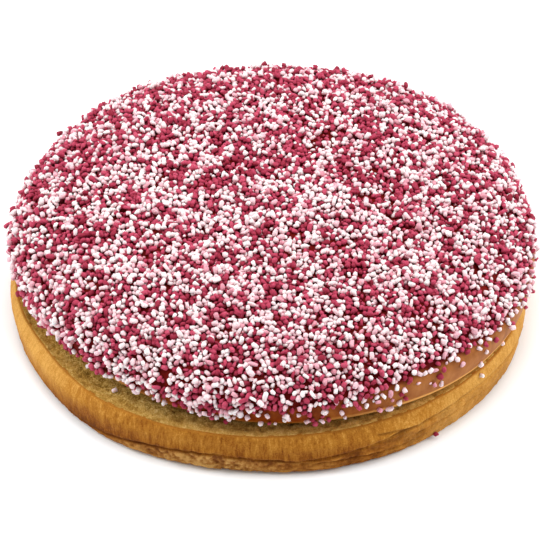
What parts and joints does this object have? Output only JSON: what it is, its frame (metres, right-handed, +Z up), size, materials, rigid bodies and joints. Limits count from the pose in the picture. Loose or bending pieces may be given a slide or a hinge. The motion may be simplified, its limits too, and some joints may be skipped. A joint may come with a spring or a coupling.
{
  "type": "tarte tropezienne",
  "caption": "Round brioche cake split level: a domed, glazed lid coated in pink and white sugar nibs rests on a low golden base whose cut crumb shows at the rim.",
  "frame": {"origin": "centre of the base's flat bottom, on the surface that the cake stands on", "axes": "+Z up through the crown of the lid, -Y towards the side where the cut rim of the base shows most, +X to the right as seen from that side"},
  "size_m": [0.239, 0.2431, 0.0647],
  "materials": {
    "baked_side": "dry golden-brown baked crust, paler at the left and browner at the foot",
    "crumb": "matt cut brioche crumb with fine pores",
    "glazed_top": "satin egg glaze over a brown crust",
    "white_sugar": "opaque white nib sugar",
    "rose_sugar": "opaque raspberry-pink nib sugar"
  },
  "bodies": {
    "root": {"brioche_base": "baked_side", "brioche_lid": "glazed_top"}
  },
  "joints": []
}
